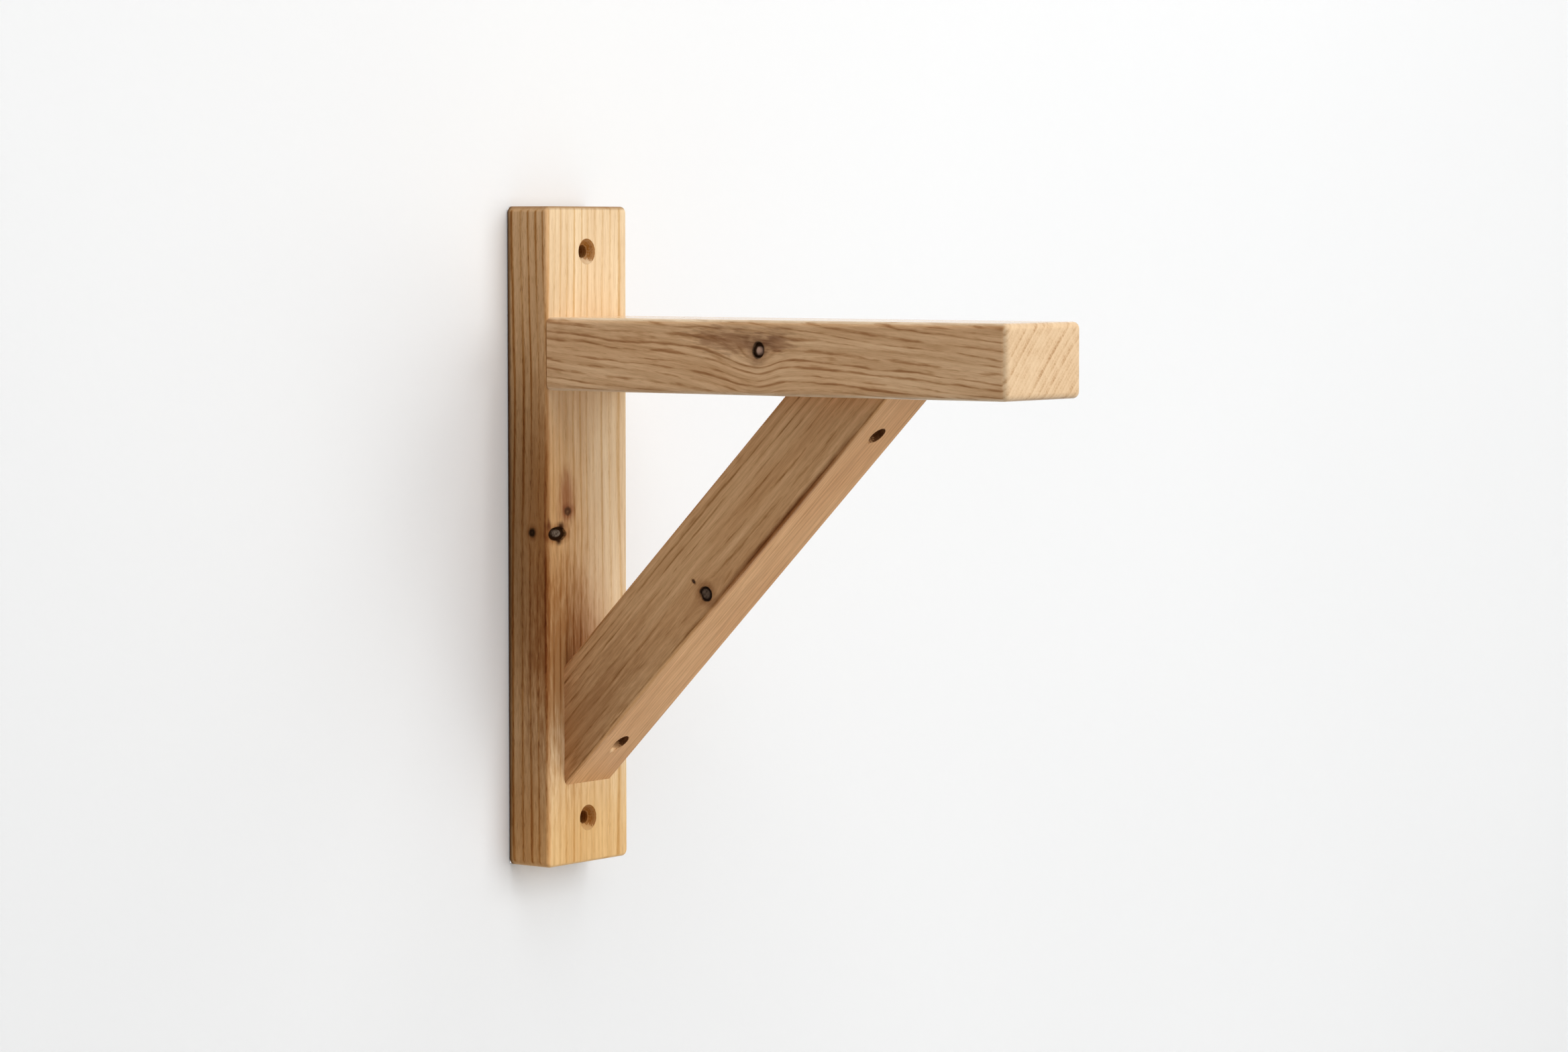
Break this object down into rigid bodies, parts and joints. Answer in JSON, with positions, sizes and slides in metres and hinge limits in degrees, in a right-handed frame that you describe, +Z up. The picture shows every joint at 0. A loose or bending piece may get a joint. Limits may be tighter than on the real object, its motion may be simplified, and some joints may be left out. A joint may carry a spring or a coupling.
{
  "type": "wooden shelf bracket",
  "caption": "Braced wooden shelf bracket: wall plate with countersunk screw holes, level arm that carries the shelf, and a diagonal brace mitred and screwed between them.",
  "frame": {"origin": "centre of the plate's back face, which lies on the wall", "axes": "+X right along the wall seen from the room, +Y into the wall, +Z up; the arm reaches out along -Y"},
  "size_m": [0.058, 0.273, 0.3],
  "materials": {
    "oak": "planed and sanded bare oak with open grain",
    "zinc_steel": "zinc plated"
  },
  "bodies": {
    "root": {"back_plate": "oak", "arm": "oak", "brace": "oak", "arm_screw_left": "zinc_steel", "arm_screw_right": "zinc_steel", "brace_screw_lower": "zinc_steel", "brace_screw_upper": "zinc_steel"}
  },
  "joints": []
}
